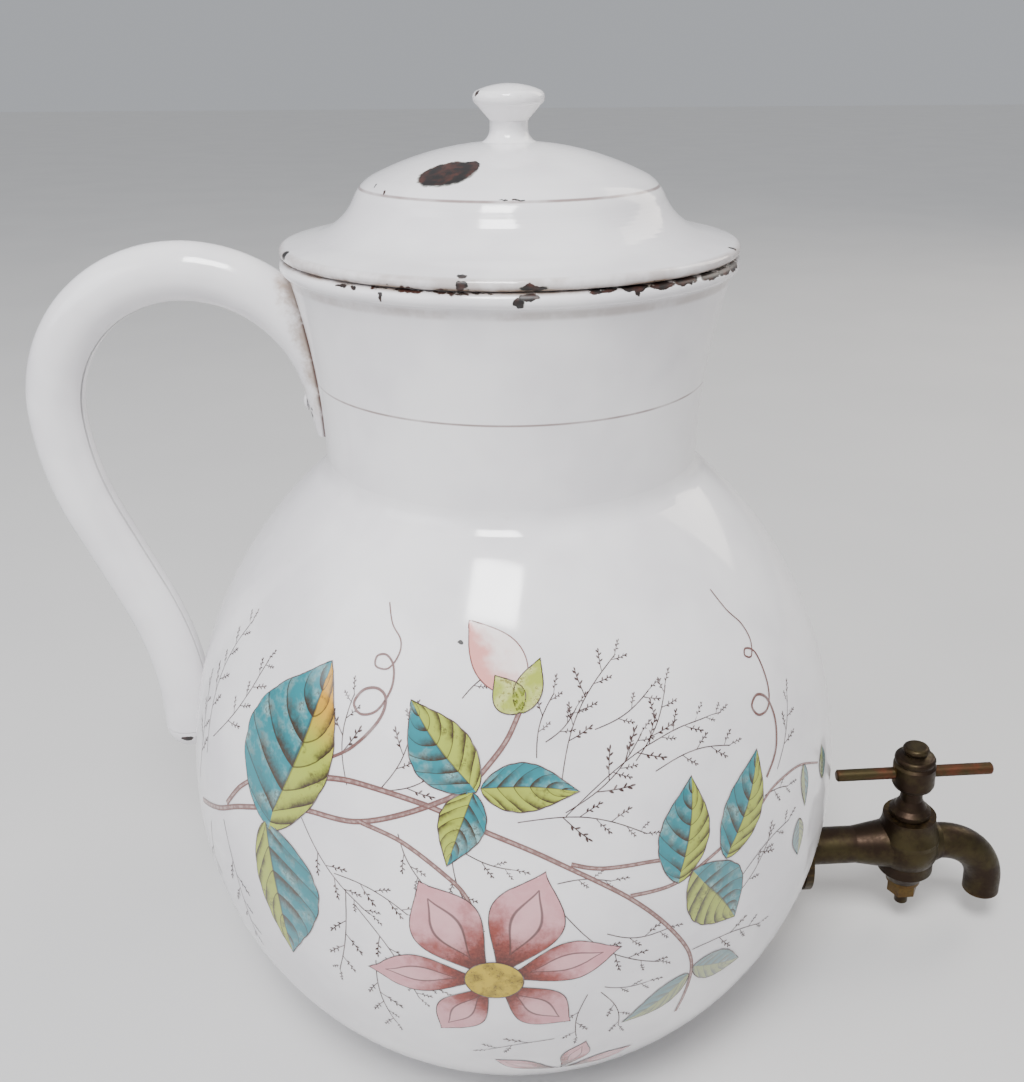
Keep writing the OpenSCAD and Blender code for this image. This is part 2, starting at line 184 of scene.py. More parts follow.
def enamel(name, rings=(), chips=(), worn=(), grime_and_shadow=(), stain=None):
    """White vitreous enamel on sheet iron: two fired coats give a deep glassy gloss over a faintly uneven
    surface. It chips to black iron with a rusty edge, and dirt settles in its pin-holes."""
    look = bpy.context.scene.jug_enamel
    material, tree = new_material(name)
    place = node(tree, "TexCoord", out=3)
    apart = node(tree, "SeparateXYZ", {0: place}).node
    x, y, z = apart.outputs
    across = node(tree, "VectorMath", {0: node(tree, "CombineXYZ", {0: x, 1: y})}, out=1, operation="LENGTH")
    # Coats of unequal thickness, in clouds about 50 mm wide
    cloud = node(tree, "TexNoise", {"Vector": place, "Scale": 20, "Detail": 3, "Roughness": 0.6})
    skin = node(tree, "Mix", {
        0: node(tree, "MapRange", {0: cloud, 1: 0.35, 2: 0.7}, **SMOOTH), 6: look.glaze, 7: look.glaze_shade
    }, **BLEND)
    # Pin-holes under a millimetre wide, one or two over the whole belly
    cells = node(tree, "TexVoronoi", {"Vector": place, "Scale": 55}).node
    rare = node(tree, "MapRange", {
        0: node(tree, "SeparateColor", {0: cells.outputs["Color"]}), 1: 0.86, 2: 0.88
    }, **SMOOTH)
    speck = node(tree, "Math", {
        0: node(tree, "MapRange", {0: cells.outputs["Distance"], 1: 0.022, 2: 0.012}, **SMOOTH), 1: rare
    }, operation="MULTIPLY")
    skin = node(tree, "Mix", {0: speck, 6: skin, 7: look.rust}, **BLEND)
    # Faint scuffs that have held dirt, in patches about 6 mm wide
    scuff = node(tree, "TexNoise", {"Vector": place, "Scale": 150, "Detail": 5, "Roughness": 0.7})
    scuffed = node(tree, "Math", {
        0: node(tree, "MapRange", {0: scuff, 1: 0.62, 2: 0.8}, **SMOOTH),
        1: node(tree, "MapRange", {0: cloud, 1: 0.45, 2: 0.65}, **SMOOTH),
    }, operation="MULTIPLY")
    skin = node(tree, "Mix", {
        0: node(tree, "Math", {0: scuffed, 1: 0.25}, operation="MULTIPLY"), 6: skin, 7: look.line
    }, **BLEND)
    for kind, value in rings:
        along = z if kind == "height" else across
        off = node(tree, "Math", {
            0: node(tree, "Math", {0: along, 1: value}, operation="SUBTRACT")
        }, operation="ABSOLUTE")
        rubbed = node(tree, "MapRange", {
            0: node(tree, "TexNoise", {"Vector": place, "Scale": 60, "Detail": 4}), 1: 0.3, 2: 0.6, 3: 0.35,
            4: 0.9,
        }, **SMOOTH)
        drawn = node(tree, "MapRange", {0: off, 1: look.line_width * 0.9, 2: look.line_width * 0.3}, **SMOOTH)
        skin = node(tree, "Mix", {
            0: node(tree, "Math", {0: drawn, 1: rubbed}, operation="MULTIPLY"), 6: skin, 7: look.line
        }, **BLEND)
    # Brown rings along the rolled edges, broken up by this noise: grime, and on the neck also a painted shadow
    # line under the rim bead
    dirt = node(tree, "TexNoise", {"Vector": place, "Scale": 75, "Detail": 4, "Roughness": 0.65})
    for radius, height, reach, amount in grime_and_shadow:
        near = from_ring(tree, across, z, radius, height)
        held = node(tree, "Math", {
            0: node(tree, "MapRange", {0: near, 1: reach * MM, 2: reach * 0.3 * MM}, **SMOOTH),
            1: node(tree, "MapRange", {0: dirt, 1: 0.3, 2: 0.62, 3: 0.25, 4: 1.0}, **SMOOTH),
        }, operation="MULTIPLY")
        skin = node(tree, "Mix", {
            0: node(tree, "Math", {0: held, 1: amount}, operation="MULTIPLY"), 6: skin, 7: look.grime_and_shadow
        }, **BLEND)
    bare = chips_mask(tree, place, chips) if chips else None
    patchy = node(tree, "TexNoise", {"Vector": place, "Scale": 260, "Detail": 4, "Roughness": 0.65})
    for radius, height, reach, amount in worn:
        near = from_ring(tree, across, z, radius, height)
        close = node(tree, "MapRange", {0: near, 1: reach * MM, 2: 0.0}, **SMOOTH)
        # Wear comes in runs about 25 mm long round the edge
        run = node(tree, "MapRange", {
            0: node(tree, "TexNoise", {"Vector": place, "Scale": 38, "Detail": 2}), 1: 0.42, 2: 0.68
        }, **SMOOTH)
        high = node(tree, "Math", {
            0: run, 1: 0.22, 2: node(tree, "Math", {0: close, 1: amount}, operation="MULTIPLY")
        }, operation="MULTIPLY_ADD")
        gone = node(tree, "MapRange", {
            0: node(tree, "Math", {0: high, 1: patchy}, operation="ADD"), 1: 1.0, 2: 1.06
        }, **SMOOTH)
        bare = gone if bare is None else node(tree, "Math", {0: bare, 1: gone}, operation="MAXIMUM")
    if stain is not None:
        skin = stain(tree, place, across, z, skin, look)
    shine = node(tree, "MapRange", {0: scuff, 1: 0.3, 2: 0.8, 3: 0.07, 4: 0.16}, **SMOOTH)
    # Slow waves of the fired coat, about 12 mm apart and some 20 microns high
    wave = node(tree, "TexNoise", {"Vector": place, "Scale": 85, "Detail": 1})
    relief = node(tree, "Math", {0: wave, 1: 0.06 * MM}, operation="MULTIPLY")
    if bare is not None:
        rusty = node(tree, "Mix", {
            0: node(tree, "MapRange", {0: patchy, 1: 0.42, 2: 0.66}, **SMOOTH), 6: look.iron, 7: look.rust
        }, **BLEND)
        # A grey-green edge shows where the coats thin out round a chip
        skin = node(tree, "Mix", {
            0: node(tree, "MapRange", {0: bare, 1: 0.0, 2: 0.35, 3: 0.0, 4: 0.7}, **SMOOTH), 6: skin,
            7: srgb("#77796c"),
        }, **BLEND)
        skin = node(tree, "Mix", {
            0: node(tree, "MapRange", {0: bare, 1: 0.25, 2: 0.8}, **SMOOTH), 6: skin, 7: rusty
        }, **BLEND)
        shine = node(tree, "Math", {
            0: shine, 1: node(tree, "Math", {0: bare, 1: 0.3}, operation="MULTIPLY")
        }, operation="ADD")
        relief = node(tree, "Math", {
            0: relief, 1: node(tree, "Math", {0: bare, 1: 0.35 * MM}, operation="MULTIPLY")
        }, operation="SUBTRACT")
    bump = node(tree, "Bump", {"Strength": 0.8, "Distance": 1.0, "Height": relief})
    shader = node(tree, "BsdfPrincipled", {"Base Color": skin, "Roughness": shine, "IOR": 1.55, "Normal": bump})
    node(tree, "OutputMaterial", {"Surface": shader})
    return material


def neck_joint_stain(tree, place, across, z, skin, look):
    """Brown stain where the handle meets the neck, and a rusty tinge lower down the tube."""
    # The neck's radius grows with the square of the height above its foot
    rise = node(tree, "Math", {
        0: node(tree, "Math", {0: z, 1: NECK_FOOT_Z}, operation="SUBTRACT"), 1: 0.0
    }, operation="MAXIMUM")
    neck = node(tree, "Math", {
        0: node(tree, "Math", {0: rise, 1: rise}, operation="MULTIPLY"), 1: 1 / NECK_FLARE, 2: NECK_R
    }, operation="MULTIPLY_ADD")
    gap = node(tree, "Math", {0: across, 1: neck}, operation="SUBTRACT")
    blotch = node(tree, "TexNoise", {"Vector": place, "Scale": 110, "Detail": 4, "Roughness": 0.7})
    reach = node(tree, "Math", {0: blotch, 1: 16 * MM, 2: -3 * MM}, operation="MULTIPLY_ADD")
    near = node(tree, "MapRange", {
        0: node(tree, "Math", {0: gap, 1: reach}, operation="SUBTRACT"), 1: 1.5 * MM, 2: -5 * MM
    }, **SMOOTH)
    high = node(tree, "MapRange", {0: z, 1: 222 * MM, 2: 240 * MM}, **SMOOTH)
    dirty = node(tree, "Math", {0: near, 1: high}, operation="MULTIPLY")
    skin = node(tree, "Mix", {
        0: node(tree, "Math", {0: dirty, 1: 0.7}, operation="MULTIPLY"), 6: skin, 7: srgb("#8a6a48")
    }, **BLEND)
    line = node(tree, "Math", {
        0: node(tree, "MapRange", {0: gap, 1: 1.6 * MM, 2: 0.2 * MM}, **SMOOTH),
        1: node(tree, "MapRange", {0: blotch, 1: 0.3, 2: 0.5}, **SMOOTH),
    }, operation="MULTIPLY")
    return node(tree, "Mix", {0: line, 6: skin, 7: look.rust}, **BLEND)


def old_brass(name, bright=0.4, base=None):
    """Cast and turned brass, long unpolished: a brown skin with an olive bloom, rubbed through to dull gold
    on corners and wherever a hand goes. Fine casting grain shows on the rough parts."""
    look = bpy.context.scene.tap_finish
    material, tree = new_material(name)
    place = node(tree, "TexCoord", out=3)
    cloud = node(tree, "TexNoise", {"Vector": place, "Scale": 70, "Detail": 5, "Roughness": 0.65})
    fine = node(tree, "TexNoise", {"Vector": place, "Scale": 700, "Detail": 3})
    skin = node(tree, "Mix", {
        0: node(tree, "MapRange", {0: cloud, 1: 0.4, 2: 0.65}, **SMOOTH),
        6: look.patina if base is None else base, 7: look.olive,
    }, **BLEND)
    edge = node(tree, "MapRange", {0: node(tree, "NewGeometry", out=7), 1: 0.53, 2: 0.68}, **SMOOTH)
    rubbed = node(tree, "Math", {
        0: node(tree, "MapRange", {
            0: node(tree, "Math", {0: cloud, 1: edge}, operation="ADD"), 1: 0.72, 2: 1.25
        }, **SMOOTH),
        1: bright,
    }, operation="MULTIPLY")
    rubbed = node(tree, "Math", {
        0: rubbed, 1: node(tree, "MapRange", {0: fine, 1: 0.3, 2: 0.6, 3: 0.5, 4: 1.0}, **SMOOTH)
    }, operation="MULTIPLY")
    skin = node(tree, "Mix", {0: rubbed, 6: skin, 7: look.brass}, **BLEND)
    shine = node(tree, "Math", {
        0: node(tree, "MapRange", {0: fine, 1: 0.3, 2: 0.7, 3: 0.38, 4: 0.52}, **SMOOTH),
        1: node(tree, "Math", {0: rubbed, 1: 0.14}, operation="MULTIPLY"),
    }, operation="SUBTRACT")
    relief = node(tree, "Math", {
        0: fine, 1: 0.05 * MM, 2: node(tree, "Math", {0: cloud, 1: 0.15 * MM}, operation="MULTIPLY")
    }, operation="MULTIPLY_ADD")
    bump = node(tree, "Bump", {"Strength": 0.7, "Distance": 1.0, "Height": relief})
    shader = node(tree, "BsdfPrincipled", {
        "Base Color": skin, "Metallic": 0.85, "Roughness": shine, "Normal": bump
    })
    node(tree, "OutputMaterial", {"Surface": shader})
    return material


def washer_leather(name):
    """Oak-tanned leather, pressed hard and dark with water: matt, with a fibrous cut edge."""
    look = bpy.context.scene.tap_finish
    material, tree = new_material(name)
    place = node(tree, "TexCoord", out=3)
    fibre = node(tree, "TexNoise", {"Vector": place, "Scale": 900, "Detail": 5, "Roughness": 0.75})
    skin = node(tree, "Mix", {
        0: node(tree, "MapRange", {0: fibre, 1: 0.35, 2: 0.65}, **SMOOTH), 6: look.leather, 7: srgb("#3a271a")
    }, **BLEND)
    bump = node(tree, "Bump", {
        "Strength": 0.9, "Distance": 1.0,
        "Height": node(tree, "Math", {0: fibre, 1: 0.15 * MM}, operation="MULTIPLY"),
    })
    shader = node(tree, "BsdfPrincipled", {"Base Color": skin, "Roughness": 0.75, "IOR": 1.45, "Normal": bump})
    node(tree, "OutputMaterial", {"Surface": shader})
    return material


def washer_rubber(name):
    """Moulded black rubber, gone grey with age: matt, with a fine bloom on the skin."""
    material, tree = new_material(name)
    place = node(tree, "TexCoord", out=3)
    bloom = node(tree, "TexNoise", {"Vector": place, "Scale": 300, "Detail": 4, "Roughness": 0.7})
    skin = node(tree, "Mix", {
        0: node(tree, "MapRange", {0: bloom, 1: 0.4, 2: 0.65}, **SMOOTH), 6: srgb("#2b2927"), 7: srgb("#4a4744")
    }, **BLEND)
    shader = node(tree, "BsdfPrincipled", {
        "Base Color": skin,
        "Roughness": node(tree, "MapRange", {0: bloom, 1: 0.3, 2: 0.7, 3: 0.6, 4: 0.8}, **SMOOTH), "IOR": 1.52,
    })
    node(tree, "OutputMaterial", {"Surface": shader})
    return material


def drawn_steel(name):
    """Drawn steel wire and a set rivet: grey, with fine marks and a few rust freckles."""
    look = bpy.context.scene.tap_finish
    material, tree = new_material(name)
    place = node(tree, "TexCoord", out=3)
    grit = node(tree, "TexNoise", {"Vector": place, "Scale": 800, "Detail": 4})
    freckle = node(tree, "TexNoise", {"Vector": place, "Scale": 240, "Detail": 5})
    skin = node(tree, "Mix", {
        0: node(tree, "MapRange", {0: freckle, 1: 0.55, 2: 0.68}, **SMOOTH), 6: look.steel,
        7: bpy.context.scene.jug_enamel.rust,
    }, **BLEND)
    shader = node(tree, "BsdfPrincipled", {
        "Base Color": skin, "Metallic": 0.9,
        "Roughness": node(tree, "MapRange", {0: grit, 1: 0.3, 2: 0.7, 3: 0.3, 4: 0.5}, **SMOOTH),
    })
    node(tree, "OutputMaterial", {"Surface": shader})
    return material


def underglaze(tree, skin):
    """Print fired under the clear top coat: the colour is the print's and the gloss is the enamel's."""
    node(tree, "OutputMaterial", {
        "Surface": node(tree, "BsdfPrincipled", {"Base Color": skin, "Roughness": 0.11, "IOR": 1.55})
    })


def ways(tree):
    """U along a print and V across it."""
    apart = node(tree, "SeparateXYZ", {0: node(tree, "UVMap", uv_map="UVMap")}).node
    return apart.outputs[0], apart.outputs[1]


def from_midrib(tree, v):
    """0 on a leaf's midrib and 1 at its edges."""
    off = node(tree, "Math", {0: v, 1: 0.5}, operation="SUBTRACT")
    off = node(tree, "Math", {0: off}, operation="ABSOLUTE")
    return node(tree, "Math", {0: off, 1: 2.0}, operation="MULTIPLY")


def printed_leaf():
    """Engraved leaf transfer: two flat washes, one on each side of the midrib, under fine dark shading that
    follows curved veins and is darkest along one side of each."""
    look = bpy.context.scene.jug_print
    material, tree = new_material("leaf_transfer")
    u, v = ways(tree)
    place = node(tree, "TexCoord", out=3)
    side = node(tree, "Math", {0: v, 1: 0.5}, operation="GREATER_THAN")
    from_rib = from_midrib(tree, v)
    blotch = node(tree, "TexNoise", {"Vector": place, "Scale": 170, "Detail": 3, "Roughness": 0.6})
    hatch = node(tree, "TexNoise", {"Vector": place, "Scale": 900, "Detail": 3, "Roughness": 0.7})
    turning = node(tree, "Attribute", out=2, attribute_name="turning")
    faded = node(tree, "Attribute", out=2, attribute_name="faded")
    teal = node(tree, "Mix", {
        0: node(tree, "MapRange", {0: blotch, 1: 0.45, 2: 0.75, 3: 0.0, 4: 0.6}, **SMOOTH), 6: look.teal,
        7: srgb("#a9cbc8"),
    }, **BLEND)
    gold = node(tree, "Math", {
        0: node(tree, "MapRange", {0: u, 1: 0.45, 2: 0.8}, **SMOOTH), 1: turning
    }, operation="MULTIPLY")
    warm = node(tree, "Mix", {0: gold, 6: look.green, 7: look.gold}, **BLEND)
    skin = node(tree, "Mix", {0: side, 6: warm, 7: teal}, **BLEND)
    phase = node(tree, "Math", {
        0: u, 1: VEINS,
        2: node(tree, "Math", {
            0: node(tree, "Math", {0: from_rib, 1: 1.4}, operation="POWER"), 1: -1.7
        }, operation="MULTIPLY"),
    }, operation="MULTIPLY_ADD")
    step = node(tree, "Math", {0: node(tree, "Math", {0: phase, 1: 4.0}, operation="ADD")}, operation="FRACT")
    rough_step = node(tree, "Math", {
        0: node(tree, "Math", {0: hatch, 1: 0.5}, operation="SUBTRACT"), 1: 0.5, 2: step
    }, operation="MULTIPLY_ADD")
    # The shading is darkest next to the midrib on the teal half, and towards the edge on the other
    inner = node(tree, "Math", {
        0: side, 1: node(tree, "Math", {0: 1.0, 1: from_rib}, operation="SUBTRACT")
    }, operation="MULTIPLY")
    outer = node(tree, "Math", {
        0: node(tree, "Math", {0: 1.0, 1: side}, operation="SUBTRACT"), 1: from_rib
    }, operation="MULTIPLY")
    deep = node(tree, "Math", {
        0: node(tree, "Math", {0: inner, 1: outer}, operation="ADD"),
        1: node(tree, "Math", {0: u, 1: -0.25}, operation="MULTIPLY"),
    }, operation="ADD")
    patch = node(tree, "MapRange", {
        0: node(tree, "Math", {
            0: deep, 1: node(tree, "Math", {0: blotch, 1: 1.6, 2: -0.8}, operation="MULTIPLY_ADD")
        }, operation="ADD"),
        1: 0.05, 2: 0.6, 3: 0.15, 4: 1.0,
    }, **SMOOTH)
    # Dark stippled patches lie over parts of both halves
    stipple = node(tree, "Math", {
        0: node(tree, "MapRange", {0: blotch, 1: 0.52, 2: 0.66}, **SMOOTH),
        1: node(tree, "MapRange", {0: hatch, 1: 0.42, 2: 0.6, 3: 0.0, 4: 0.7}, **SMOOTH),
    }, operation="MULTIPLY")
    shadow = node(tree, "Math", {
        0: node(tree, "MapRange", {0: rough_step, 1: 0.75, 2: 0.0}, **SMOOTH), 1: patch
    }, operation="MULTIPLY")
    skin = node(tree, "Mix", {
        0: node(tree, "Math", {0: shadow, 1: stipple}, operation="MAXIMUM"), 6: skin, 7: look.shade
    }, **BLEND)
    vein = node(tree, "MapRange", {
        0: node(tree, "Math", {
            0: node(tree, "Math", {0: step, 1: 0.02}, operation="SUBTRACT")
        }, operation="ABSOLUTE"),
        1: 0.075, 2: 0.03, 3: 0.0, 4: 0.75,
    }, **SMOOTH)
    skin = node(tree, "Mix", {0: vein, 6: skin, 7: look.shade}, **BLEND)
    rib = node(tree, "MapRange", {0: from_rib, 1: 0.05, 2: 0.02, 3: 0.0, 4: 0.6}, **SMOOTH)
    skin = node(tree, "Mix", {0: rib, 6: skin, 7: look.shade}, **BLEND)
    skin = node(tree, "Mix", {
        0: node(tree, "Math", {0: faded, 1: 0.55}, operation="MULTIPLY"), 6: skin, 7: srgb("#9aa09c")
    }, **BLEND)
    underglaze(tree, skin)
    return material


def printed_petal():
    """Petal transfer: dusty pink that deepens to red-brown towards the flower's middle, with a second,
    smaller petal line drawn inside."""
    look = bpy.context.scene.jug_print
    material, tree = new_material("petal_transfer")
    u, v = ways(tree)
    place = node(tree, "TexCoord", out=3)
    from_rib = from_midrib(tree, v)
    blotch = node(tree, "TexNoise", {"Vector": place, "Scale": 150, "Detail": 4, "Roughness": 0.65})
    hatch = node(tree, "TexNoise", {"Vector": place, "Scale": 900, "Detail": 3, "Roughness": 0.7})
    skin = node(tree, "Mix", {
        0: node(tree, "MapRange", {0: blotch, 1: 0.35, 2: 0.7, 3: 0.0, 4: 0.35}, **SMOOTH), 6: look.pink,
        7: srgb("#ddb3b4"),
    }, **BLEND)
    warm = node(tree, "Math", {
        0: u, 1: node(tree, "Math", {0: blotch, 1: 0.6, 2: -0.3}, operation="MULTIPLY_ADD")
    }, operation="ADD")
    warm = node(tree, "Math", {
        0: warm, 1: node(tree, "Math", {0: from_rib, 1: 0.16}, operation="MULTIPLY")
    }, operation="SUBTRACT")
    skin = node(tree, "Mix", {
        0: node(tree, "MapRange", {0: warm, 1: 0.62, 2: 0.2}, **SMOOTH), 6: skin, 7: look.petal_deep
    }, **BLEND)
    # The inner line is a half-wave from near the middle to short of the tip
    wave = node(tree, "Math", {
        0: node(tree, "Math", {
            0: node(tree, "Math", {0: u, 1: 0.26}, operation="SUBTRACT"), 1: math.pi / 0.58
        }, operation="MULTIPLY"),
    }, operation="SINE")
    inner = node(tree, "Math", {
        0: from_rib,
        1: node(tree, "Math", {
            0: node(tree, "Math", {0: wave, 1: 0.0}, operation="MAXIMUM"), 1: 0.38
        }, operation="MULTIPLY"),
    }, operation="SUBTRACT")
    inside = node(tree, "Math", {
        0: node(tree, "MapRange", {0: inner, 1: 0.0, 2: -0.05}, **SMOOTH),
        1: node(tree, "MapRange", {0: u, 1: 0.25, 2: 0.5, 3: 0.0, 4: 0.6}, **SMOOTH),
    }, operation="MULTIPLY")
    skin = node(tree, "Mix", {0: inside, 6: skin, 7: srgb("#d9a9ac")}, **BLEND)
    within = node(tree, "Math", {
        0: node(tree, "Math", {0: u, 1: 0.27}, operation="GREATER_THAN"),
        1: node(tree, "Math", {0: u, 1: 0.84}, operation="LESS_THAN"),
    }, operation="MULTIPLY")
    drawn = node(tree, "Math", {
        0: node(tree, "MapRange", {
            0: node(tree, "Math", {0: inner}, operation="ABSOLUTE"), 1: 0.055, 2: 0.02
        }, **SMOOTH),
        1: within,
    }, operation="MULTIPLY")
    skin = node(tree, "Mix", {
        0: node(tree, "Math", {0: drawn, 1: 0.8}, operation="MULTIPLY"), 6: skin, 7: look.ink
    }, **BLEND)
    dark = node(tree, "Math", {
        0: node(tree, "Math", {0: 0.4, 1: u}, operation="SUBTRACT"),
        1: node(tree, "Math", {0: hatch, 1: 0.5, 2: -0.25}, operation="MULTIPLY_ADD"),
    }, operation="ADD")
    skin = node(tree, "Mix", {
        0: node(tree, "MapRange", {0: dark, 1: -0.02, 2: 0.24, 3: 0.0, 4: 0.9}, **SMOOTH), 6: skin,
        7: srgb("#4a241f"),
    }, **BLEND)
    underglaze(tree, skin)
    return material


def printed_bud():
    """Bud transfer: a pink flush down one side and at the tip, let out to nearly white on the other."""
    look = bpy.context.scene.jug_print
    material, tree = new_material("bud_transfer")
    u, v = ways(tree)
    place = node(tree, "TexCoord", out=3)
    blotch = node(tree, "TexNoise", {"Vector": place, "Scale": 140, "Detail": 3, "Roughness": 0.55})
    flush = node(tree, "Math", {
        0: u, 1: 0.35,
        2: node(tree, "Math", {0: v, 1: 0.75}, operation="MULTIPLY"),
    }, operation="MULTIPLY_ADD")
    flush = node(tree, "Math", {
        0: flush, 1: node(tree, "Math", {0: blotch, 1: 1.2, 2: -0.6}, operation="MULTIPLY_ADD")
    }, operation="ADD")
    skin = node(tree, "Mix", {
        0: node(tree, "MapRange", {0: flush, 1: 0.25, 2: 0.85}, **SMOOTH), 6: srgb("#f6ebe8"), 7: look.bud
    }, **BLEND)
    underglaze(tree, skin)
    return material


def printed_wash(name, first, second, flecks, scale):
    """Flat wash of a transfer, blotched where the colour took unevenly, with engraved flecks over it."""
    material, tree = new_material(name)
    place = node(tree, "TexCoord", out=3)
    blotch = node(tree, "TexNoise", {"Vector": place, "Scale": scale, "Detail": 3, "Roughness": 0.6})
    skin = node(tree, "Mix", {
        0: node(tree, "MapRange", {0: blotch, 1: 0.38, 2: 0.62}, **SMOOTH), 6: first, 7: second
    }, **BLEND)
    fleck = node(tree, "TexNoise", {"Vector": place, "Scale": scale * 6, "Detail": 4, "Roughness": 0.7})
    dark = node(tree, "MapRange", {
        0: node(tree, "Math", {
            0: fleck, 1: node(tree, "Math", {0: blotch, 1: 0.5}, operation="ADD")
        }, operation="MULTIPLY"),
        1: 0.55, 2: 0.66, 3: 0.0, 4: 0.8,
    }, **SMOOTH)
    skin = node(tree, "Mix", {0: dark, 6: skin, 7: flecks}, **BLEND)
    underglaze(tree, skin)
    return material


def printed_stem():
    """Stem transfer: two dark lines with a paler, dotted middle. The ribbon's width runs along V."""
    look = bpy.context.scene.jug_print
    material, tree = new_material("stem_transfer")
    v = ways(tree)[1]
    place = node(tree, "TexCoord", out=3)
    off = node(tree, "Math", {
        0: node(tree, "Math", {0: v, 1: 0.5}, operation="SUBTRACT")
    }, operation="ABSOLUTE")
    dots = node(tree, "TexNoise", {"Vector": place, "Scale": 700, "Detail": 2})
    middle = node(tree, "Math", {
        0: node(tree, "MapRange", {0: off, 1: 0.3, 2: 0.14}, **SMOOTH),
        1: node(tree, "MapRange", {0: dots, 1: 0.4, 2: 0.6, 3: 0.25, 4: 0.8}, **SMOOTH),
    }, operation="MULTIPLY")
    skin = node(tree, "Mix", {0: middle, 6: look.stem, 7: srgb("#b59a95")}, **BLEND)
    underglaze(tree, skin)
    return material


def printed_ink(name, code):
    """Thin engraved ink, a little broken where the transfer took badly."""
    material, tree = new_material(name)
    place = node(tree, "TexCoord", out=3)
    broken = node(tree, "TexNoise", {"Vector": place, "Scale": 300, "Detail": 3})
    skin = node(tree, "Mix", {
        0: node(tree, "MapRange", {0: broken, 1: 0.45, 2: 0.75, 3: 0.0, 4: 0.5}, **SMOOTH), 6: code,
        7: srgb("#a79b99"),
    }, **BLEND)
    underglaze(tree, skin)
    return material


def dress(names, material):
    """Gives CAD nodes a material."""
    for name in names:
        NODES[name].data.materials.clear()
        NODES[name].data.materials.append(material)


# ---------- drawing on the belly ----------


def only(*objects):
    """Selects these objects and nothing else."""
    bpy.ops.object.select_all(action="DESELECT")
    for obj in objects:
        obj.select_set(True)
    bpy.context.view_layer.objects.active = objects[0]


def join(objects, name):
    """Joins the objects into the first one, under a new name."""
    only(*objects)
    bpy.ops.object.join()
    objects[0].name = objects[0].data.name = name
    return objects[0]


def belly_form():
    """A welded, smooth copy of the belly, for pressing the prints on to."""
    form = bpy.data.objects.get("belly_form")
    if form is None:
        form = bpy.data.objects.new("belly_form", NODES["belly_shell"].data.copy())
        bpy.context.scene.collection.objects.link(form)
        only(form)
        bpy.ops.object.mode_set(mode="EDIT")
        bpy.ops.mesh.select_all(action="SELECT")
        bpy.ops.mesh.remove_doubles(threshold=0.001 * MM)
        bpy.ops.object.mode_set(mode="OBJECT")
        bpy.ops.object.shade_smooth()
        form.hide_render = True
    return form


def on_belly(azimuth, elevation):
    """Point and outward direction on the belly. Azimuth is from the front towards the tap, in degrees."""
    a, e = math.radians(azimuth), math.radians(elevation)
    out = Vector((math.sin(a) * math.cos(e), -math.cos(a) * math.cos(e), math.sin(e)))
    hit, point, normal, _ = belly_form().ray_cast(BELLY_CENTRE + out * 0.2, -out)
    if not hit:
        raise RuntimeError(f"there is no belly at azimuth {azimuth}, elevation {elevation}")
    return point, normal


def lay(piece, azimuth, elevation, turn, mirror=False):
    """Turns a flat piece and puts it on the belly's tangent plane. Turn 0 points to the tap, 90 up."""
    point, normal = on_belly(azimuth, elevation)
    east = Vector((0, 0, 1)).cross(normal).normalized()
    north = normal.cross(east)
    seat = Matrix((east, north, normal)).transposed().to_4x4()
    seat.translation = point
    flip = Matrix.Scale(-1, 4, (0, 1, 0)) if mirror else Matrix.Identity(4)
    piece.data.transform(seat @ Matrix.Rotation(math.radians(turn), 4, "Z") @ flip)
    if mirror:
        piece.data.flip_normals()
    return piece


def press(piece, lift=INK_LIFT):
    """Presses a laid piece on to the belly, a hair proud of it."""
    only(piece)
    wrap = piece.modifiers.new("press", "SHRINKWRAP")
    wrap.target = belly_form()
    wrap.wrap_method = "NEAREST_SURFACEPOINT"
    wrap.wrap_mode = "ABOVE_SURFACE"
    wrap.offset = lift
    bpy.ops.object.modifier_apply(modifier=wrap.name)
    bpy.ops.object.shade_smooth()
    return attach(piece, "jug")


def copied(piece):
    """A copy of a piece with a mesh of its own, in the scene."""
    twin = piece.copy()
    twin.data = piece.data.copy()
    bpy.context.scene.collection.objects.link(twin)
    return twin


def sheet(name, along, across):
    """A flat 1 x 1 grid with a UV map, ready to be drawn out."""
    bpy.ops.object.select_all(action="DESELECT")
    bpy.ops.mesh.primitive_grid_add(x_subdivisions=along, y_subdivisions=across, size=1)
    piece = bpy.context.object
    piece.name = name
    return piece


def outlined(piece, width):
    """Marks a rim of constant width round a flat piece with its second material."""
    only(piece)
    bpy.ops.object.mode_set(mode="EDIT")
    bpy.ops.mesh.select_all(action="SELECT")
    bpy.ops.mesh.remove_doubles(threshold=0.02 * MM)
    bpy.ops.mesh.select_all(action="SELECT")
    bpy.ops.mesh.select_mode(type="FACE")
    bpy.ops.mesh.inset(thickness=width, use_boundary=True, use_select_inset=True)
    bpy.ops.object.mode_set(mode="OBJECT")
    for face in piece.data.polygons:
        face.material_index = 1 if face.select else 0
    return piece


def blade(
    name, materials, length, near, far,
    bend=0.0, heart=0.0, scallop=0.03, round_off=0.8, fullness=0.8, outline=None,
):
    """A flat leaf from the origin along +X: near is its half-width to the right and far to the left.
    Round_off above 1 moves its widest place towards the tip, and fullness under 1 fills it out."""
    piece = sheet(name, 40, 12)
    for material in materials:
        piece.data.materials.append(material)
    for vertex in piece.data.vertices:
        u, s = vertex.co.x + 0.5, vertex.co.y * 2
        swell = math.sin(math.pi * min(1.0, max(0.0, u)) ** round_off) ** fullness * (1 - 0.5 * u**4)
        swell *= 1 + scallop * abs(math.sin(VEINS * math.pi * u))
        half = far if s > 0 else near
        vertex.co.x = length * (u - heart * abs(s) ** 1.5 * (1 - u) ** 3)
        vertex.co.y = s * half * swell + bend * length * math.sin(math.pi * u)
    return outlined(piece, outline) if outline else piece


